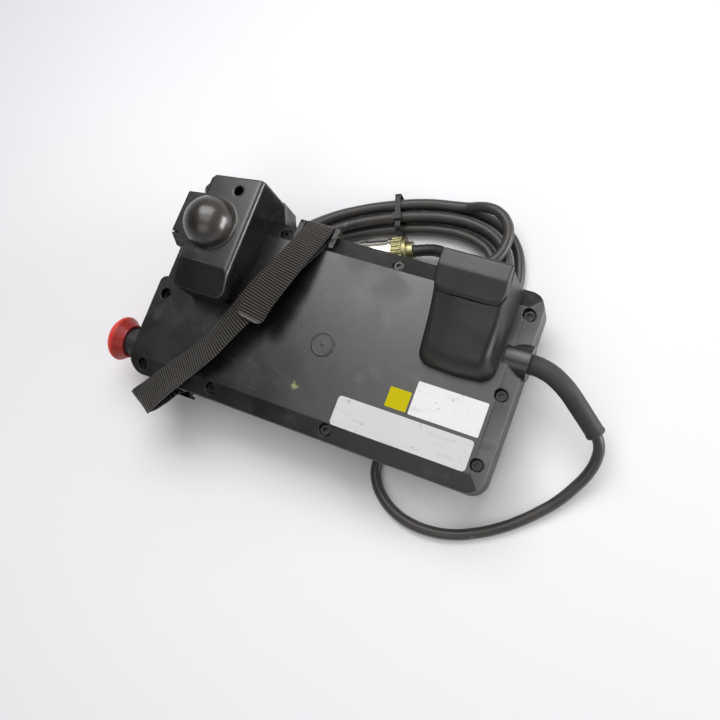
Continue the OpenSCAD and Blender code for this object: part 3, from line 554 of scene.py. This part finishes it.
# grip and its lever, each lofted along a side profile of y, z, left and right edge radius
grip = {
    "face": [(8, -5, 9, 12), (8, 0, 9, 12), (8, 4, 9, 12), (8.8, 10.2, 9, 12), (11.2, 16, 8.6, 11.4),
             (15, 21, 8, 10.4), (20, 24.8, 7.4, 9.4), (24.6, 26.8, 7, 8.6), (32, 29, 6.2, 7.6),
             (40, 31.8, 5.4, 6.6), (48, 35.6, 4.6, 5.4), (56.6, 41.2, 3.6, 4.2)],
    "rim": [(56.6, 41.2, 3.6, 4.2), (57, 37.2, 2.6, 3.6), (66, 40.8, 2, 3), (76, 44.8, 2, 3),
            (84.4, 47.2, 2, 3)],
    "back": [(84.4, 47.2, 2, 3), (86.6, 47.4, 2, 3), (88, 46.6, 2.6, 3.2), (88, 44, 4, 4),
             (88, 30, 4, 4), (88, 10, 4, 4), (88, -5, 4, 4)],
    "steps": 4, "edgeSteps": 8, "floorSteps": 6, "margin": 1,
    "x": (78, 138), "waist": 3, "waistHeight": 30, "crown": 1.2, "pocket": (82.4, 131.9), "floor": 17.5,
    "seam": {"y": 56.6, "corner": (7, 9), "reach": (45, 76), "slope": 0.62},
}
lever = {
    "top": [(57.3, 39.4, 3.6, 4.2), (57.3, 41.2, 3.6, 4.2), (57.6, 42.4, 3.6, 4.2), (58.4, 43.7, 3.4, 4),
            (60.2, 45.2, 2.8, 3.4), (64, 47.2, 2, 2.6), (68.4, 49.3, 1.7, 2), (72, 51, 1.7, 2),
            (73.4, 51.6, 1.7, 2), (74.8, 51.92, 1.7, 2), (77, 52, 1.7, 2), (81, 52, 1.7, 2),
            (85.2, 52, 1.7, 2), (86.8, 51.6, 1.7, 2), (87.6, 50.6, 2, 2.4), (87.7, 48.6, 2.6, 3)],
    "lugs": [((86.8, 91.8), (77, 83.5), (40, 50)), ((122.5, 127.5), (77, 83.5), (40, 50)),
             ((105, 112), (62.5, 65.5), (37.05, 46))],
    "steps": 5,
}


def loft(rows):  # rows of places, skinned, then closed at both sides and below
    bm = bmesh.new()
    columns, count = len(rows[0]) - 1, len(rows) - 1
    bmesh.ops.create_grid(bm, x_segments=columns, y_segments=count, size=0.5)
    walls = {0: [], columns: []}
    for vert in sorted(bm.verts, key=lambda v: v.co.y):
        column, row = round((vert.co.x + 0.5) * columns), round((vert.co.y + 0.5) * count)
        vert.co = rows[row][column]
        if column in walls:
            walls[column].append(vert)
    for wall in walls.values():
        bm.faces.new(wall)
    bmesh.ops.remove_doubles(bm, verts=bm.verts, dist=0.002 * mm)
    return closed(bm)


def gripEdges(z):  # left and right side, drawn in towards the waist
    drawn = grip["waist"] * eased(z / grip["waistHeight"])
    return grip["x"][0] + drawn, grip["x"][1] - drawn


def quarterTurn(radius, room):  # how far a rounded corner lies back, room mm in from its side
    return radius - math.sqrt(radius ** 2 - max(0, radius - max(0, room)) ** 2)


def seamShare(y):  # 1 at the seam below the lever, 0 away from it
    seam = grip["seam"]
    low, high = seam["reach"]
    return eased((y - low) / (seam["y"] - low) if y < seam["y"] else (high - y) / (high - seam["y"]))


def roundedEdge(side, inwards, radius, bow):  # x and depth, from the side wall up on to the top
    row = []
    for k in range(grip["edgeSteps"] + 1):
        turn = math.pi / 2 * k / grip["edgeSteps"]
        row.append((side + inwards * radius * (1 - math.cos(turn)), radius * (1 - math.sin(turn)) + bow))
    return row


def acrossRows(profile, steps, bow=0, pocket=None, floor=0):
    path = smoothRoute([Vector(p) for p in profile], steps)
    seam = grip["seam"]
    rows = []
    for i, (y, z, leftRadius, rightRadius) in enumerate(path):
        along = ahead(path, i)
        out = Vector((0, 1)) if pocket else Vector((-along[1], along[0])).normalized()
        low, high = gripEdges(z)
        inner = pocket or (low + leftRadius + grip["margin"], high - rightRadius - grip["margin"])
        row = roundedEdge(low, 1, leftRadius, bow)
        row.append((inner[0], bow))
        for k in range(grip["floorSteps"] + 1):
            across = 2 * k / grip["floorSteps"] - 1
            sunk = z - floor if pocket else bow * across * across
            row.append((inner[0] + (inner[1] - inner[0]) * k / grip["floorSteps"], sunk))
        row.append((inner[1], bow))
        row += roundedEdge(high, -1, rightRadius, bow)[::-1]
        curl = seamShare(y)
        places = []
        for x, sunk in row:
            lift = quarterTurn(seam["corner"][0], x - low) + quarterTurn(seam["corner"][1], high - x)
            lift *= curl
            places.append(at(x, y - out[0] * sunk + lift, z - out[1] * sunk + lift * seam["slope"]))
        rows.append(places)
    return rows


def makeGrip():
    rows = acrossRows(grip["face"], grip["steps"], grip["crown"])
    rows += acrossRows(grip["rim"], grip["steps"], 0, grip["pocket"], grip["floor"])
    rows += acrossRows(grip["back"], grip["steps"])
    finished("gripShell", loft(rows), gripBlack, "housing", ["grip_housing"], 50)


def makeLever():
    bm = loft(acrossRows(lever["top"], lever["steps"]))
    for lug in lever["lugs"]:
        size = Vector([(b - a) * mm for a, b in lug])
        middle = at(*[(a + b) / 2 for a, b in lug])
        bmesh.ops.create_cube(bm, size=1, matrix=Matrix.LocRotScale(middle, None, size))
    finished("leverCap", bm, gripBlack, "lever", ["enabling_lever"], 50)


makeGrip()
makeLever()
print("grip and lever lofted")

# mushroom head of the stop button, turned about its own axis; profile of radius and x
stop = {"axis": (-47, -24), "segments": 72, "shade": (-193.5, -188.5),
        "profile": [(0, -201), (5, -200.8), (10, -200), (14, -198.5), (17, -196.4), (18.9, -194.2),
                    (19.8, -192.4), (20, -191.2), (19.7, -190.2), (18.9, -189.2), (18.2, -188),
                    (16.6, -185.2), (15.4, -183.2), (14.8, -182), (12.6, -182), (12.5, -183),
                    (12.5, -192.8), (4.2, -193), (4.06, -196)]}


def stopRed():
    finish = Finish("stopRed", {"Specular IOR Level": 0.35})
    mottle = finish.noise(80, 5)
    depth = finish.split(finish.place)[0]
    rim = finish.step(depth, *[datum.x + x * mm for x in stop["shade"]])  # painted shade behind the rim
    colour = finish.mix(mottle, (0.88, 0.048, 0.026, 1), (0.74, 0.036, 0.02, 1))
    colour = finish.mix(rim * 0.75, colour, (0.16, 0.014, 0.014, 1))
    scuff = finish.step(finish.noise(130, 6), 0.6, 0.75)
    colour = finish.mix(scuff * 0.25, colour, (0.5, 0.16, 0.13, 1))
    finish.feed("Base Color", colour)
    finish.feed("Roughness", 0.34 + (mottle - 0.5) * 0.2 + scuff * 0.2)
    finish.feed("Normal", finish.bump(finish.noise(500, 3), strength=0.08, distance=0.3 * mm))
    return finish.material


def makeStopHead():
    bm = bmesh.new()
    axis = at(0, *stop["axis"])
    verts = [bm.verts.new(axis + Vector((x, 0, radius)) * mm) for radius, x in stop["profile"]]
    edges = [bm.edges.new(pair) for pair in zip(verts, verts[1:])]
    bmesh.ops.spin(bm, geom=verts + edges, cent=axis, axis=(1, 0, 0), angle=2 * math.pi,
                   steps=stop["segments"], use_merge=True)
    bmesh.ops.remove_doubles(bm, verts=bm.verts, dist=0.01 * mm)
    finished("stopHead", closed(bm), stopRed(), "stop_knob", ["stop_head"], 35)


makeStopHead()
print("stop head turned")

# bare plates on the back, each set a little into the cover
plates = {
    "silverPlate": {"x": (85, 141.7), "y": (-31, -4), "round": 1.2, "thick": 0.25,
                    "colour": grey(0.72, 0.01), "shine": 1.0},
    "whitePlate": {"x": (28.5, 140.7), "y": (-58, -34), "round": 3, "thick": 0.25,
                   "colour": grey(0.605, 0.015), "shine": 0.5},
    "yellowPlate": {"x": (65.4, 83), "y": (-30.5, -14.5), "round": 0.4, "thick": 0.15,
                    "colour": (0.55, 0.47, 0.003, 1), "shine": 0.05},
}
plateSink = 0.02


def plateFinish(name, colour, shine):
    finish = Finish(name, {"Specular IOR Level": shine})
    rub = finish.step(finish.noise(45, 7, finish.turned((0, 0, 0.5), (1, 5, 1))), 0.55, 0.72)
    fleck = finish.step(finish.noise(330, 5), 0.66, 0.72)
    tone = finish.mix(finish.noise(20, 4), colour, shaded(colour, 0.92))
    tone = finish.mix(rub * 0.5, tone, shaded(colour, 0.72))
    finish.feed("Base Color", finish.mix(fleck * 0.6, tone, grey(0.12)))
    finish.feed("Roughness", 0.38 + rub * 0.2 + (finish.noise(60, 3) - 0.5) * 0.2)
    finish.feed("Normal", finish.bump(finish.noise(70, 3), strength=0.1, distance=0.8 * mm))
    return finish.material


def makePlate(name, plate):
    bm = bmesh.new()
    bmesh.ops.create_grid(bm, x_segments=1, y_segments=1, size=0.5)
    size = Vector((plate["x"][1] - plate["x"][0], plate["y"][1] - plate["y"][0], 1)) * mm
    bmesh.ops.scale(bm, vec=size, verts=bm.verts)
    middle = at(sum(plate["x"]) / 2, sum(plate["y"]) / 2, -plateSink)
    bmesh.ops.translate(bm, vec=middle, verts=bm.verts)
    bmesh.ops.bevel(bm, geom=bm.verts[:], offset=plate["round"] * mm, segments=6, profile=0.5,
                    affect="VERTICES", material=-1)
    grown = bmesh.ops.extrude_face_region(bm, geom=bm.faces[:])["geom"]
    top = [item for item in grown if isinstance(item, bmesh.types.BMVert)]
    bmesh.ops.translate(bm, vec=(0, 0, plate["thick"] * mm), verts=top)
    bmesh.ops.recalc_face_normals(bm, faces=bm.faces)
    material = plateFinish(name, plate["colour"], plate["shine"])
    finished(name, bm, material, "housing", sharp=30)


for plateName, plate in plates.items():
    makePlate(plateName, plate)
print("plates laid on the back")

# pale table, with painted shade making it a little darker at the far left
table = {"size": 2.6, "left": (0.72, 0.715, 0.75, 1), "right": (0.885, 0.88, 0.9, 1), "blend": (-0.95, -0.25)}
bm = bmesh.new()
bmesh.ops.create_grid(bm, x_segments=1, y_segments=1, size=table["size"] / 2)
tableMesh = bpy.data.meshes.new("table")
bm.to_mesh(tableMesh)
bm.free()
tableTop = bpy.data.objects.new("table", tableMesh)
tableFinish = Finish("tableTop", {"Roughness": 0.6, "Specular IOR Level": 0.2})
reach = tableFinish.split(tableFinish.place)
cloud = (tableFinish.noise(3, 3) - 0.5) * 0.2
# painted shade: the table's colour darkens towards the far left, in place of the light's falloff
paintedLightFalloff = tableFinish.step(reach[0] - reach[1] + cloud, *table["blend"])
tableFinish.feed("Base Color", tableFinish.mix(paintedLightFalloff, table["left"], table["right"]))
tableMesh.materials.append(tableFinish.material)
scene.collection.objects.link(tableTop)

# sky, dim overhead and pale at the horizon, a little brighter towards the far side and the right
sky = {"overhead": 0.16, "addedLow": 0.62, "fall": 5.0, "lean": 0.06, "colour": (0.98, 0.985, 1.0, 1)}
world = bpy.data.worlds.new("studio")
scene.world = world
world.use_nodes = True


def worldNode(kind, sockets, operation=None):
    made = world.node_tree.nodes.new(kind)
    if operation:
        made.operation = operation
    for key, value in sockets.items():
        if isinstance(value, bpy.types.NodeSocket):
            world.node_tree.links.new(value, made.inputs[key])
        else:
            made.inputs[key].default_value = value
    return made.outputs


towards = worldNode("ShaderNodeTexCoord", {})["Generated"]
direction = worldNode("ShaderNodeSeparateXYZ", {0: towards})
lowness = worldNode("ShaderNodeMath", {0: 1.0, 1: direction["Z"]}, "SUBTRACT")[0]
lowness = worldNode("ShaderNodeMath", {0: lowness, 1: 1.0}, "MINIMUM")[0]
lowness = worldNode("ShaderNodeMath", {0: lowness, 1: sky["fall"]}, "POWER")[0]
level = worldNode("ShaderNodeMath", {0: lowness, 1: sky["addedLow"], 2: sky["overhead"]}, "MULTIPLY_ADD")[0]
for axis in ("X", "Y"):
    level = worldNode("ShaderNodeMath", {0: direction[axis], 1: sky["lean"], 2: level}, "MULTIPLY_ADD")[0]
background = world.node_tree.nodes["Background"]
background.inputs["Color"].default_value = sky["colour"]
world.node_tree.links.new(level, background.inputs["Strength"])

# softboxes, in metres and watts
softboxes = {
    "ceiling": {"place": (0, 0.15, 1.45), "aim": (0, 0, 0), "size": (1.1, 0.9), "watts": 5.4},
    "farWindow": {"place": (-0.2, 0.8, 1.3), "aim": (0, 0.05, 0), "size": (1.4, 0.8), "watts": 15.2},
    "rightWindow": {"place": (2.1, 0.5, 0.36), "aim": (0, 0, 0.03), "size": (1.7, 0.62), "watts": 43},
    "nearFill": {"place": (0.05, -1.15, 1.3), "aim": (0, 0, 0.03), "size": (1.1, 0.9), "watts": 4.4},
}
for lampName, box in softboxes.items():
    lamp = bpy.data.lights.new(lampName, "AREA")
    lamp.shape = "RECTANGLE"
    lamp.size, lamp.size_y = box["size"]
    lamp.energy = box["watts"]
    lampObject = bpy.data.objects.new(lampName, lamp)
    lampObject.location = box["place"]
    lampObject.rotation_euler = (Vector(box["aim"]) - lampObject.location).to_track_quat("-Z", "Y").to_euler()
    scene.collection.objects.link(lampObject)
print("table and lights set")
